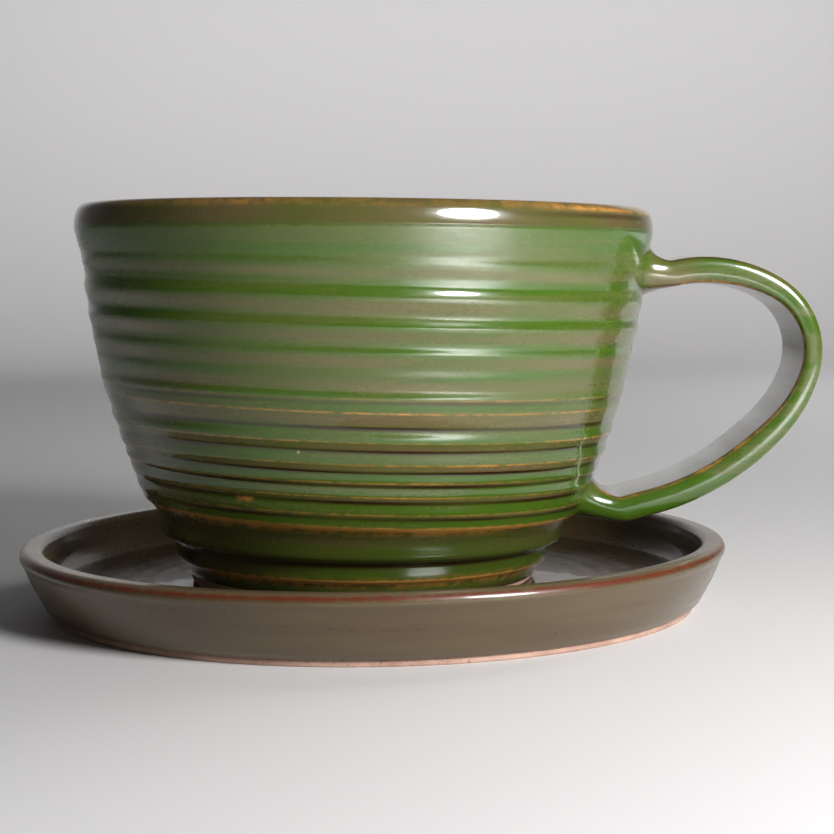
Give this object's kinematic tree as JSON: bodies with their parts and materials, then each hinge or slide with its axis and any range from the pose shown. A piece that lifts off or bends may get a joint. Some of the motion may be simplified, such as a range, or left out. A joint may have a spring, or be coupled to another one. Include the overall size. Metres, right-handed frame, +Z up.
{
  "type": "teacup with saucer",
  "caption": "Wide hand-thrown stoneware teacup with a rolled lip, throwing rings and a strap handle, standing on a matching flared saucer.",
  "frame": {"origin": "centre of the saucer's base, on the surface that it stands on", "axes": "+Z up, +X from the saucer's centre towards the cup's handle, +Y to the left when facing along +X"},
  "size_m": [0.1541, 0.136, 0.0778],
  "materials": {
    "bare_clay": "matt, fine-grained fired stoneware",
    "green_glaze": "glossy translucent green that breaks to amber and brown on edges",
    "olive_glaze": "glossy dark olive brown that breaks to rust red on the rim"
  },
  "bodies": {
    "saucer": {"saucer_dish": "bare_clay", "saucer_foot_ring": "bare_clay", "saucer_glaze": "olive_glaze"},
    "cup": {"cup_bowl": "bare_clay", "cup_foot_ring": "bare_clay", "handle_strap": "bare_clay", "handle_upper_root": "bare_clay", "handle_lower_root": "bare_clay", "cup_outer_glaze": "green_glaze", "cup_liner_glaze": "green_glaze", "handle_glaze": "green_glaze"}
  },
  "joints": [
    {"name": "cup_lift", "type": "slide", "parent": "saucer", "child": "cup", "axis": [0, 0, 1], "range_m": [0, 0.06]}
  ]
}
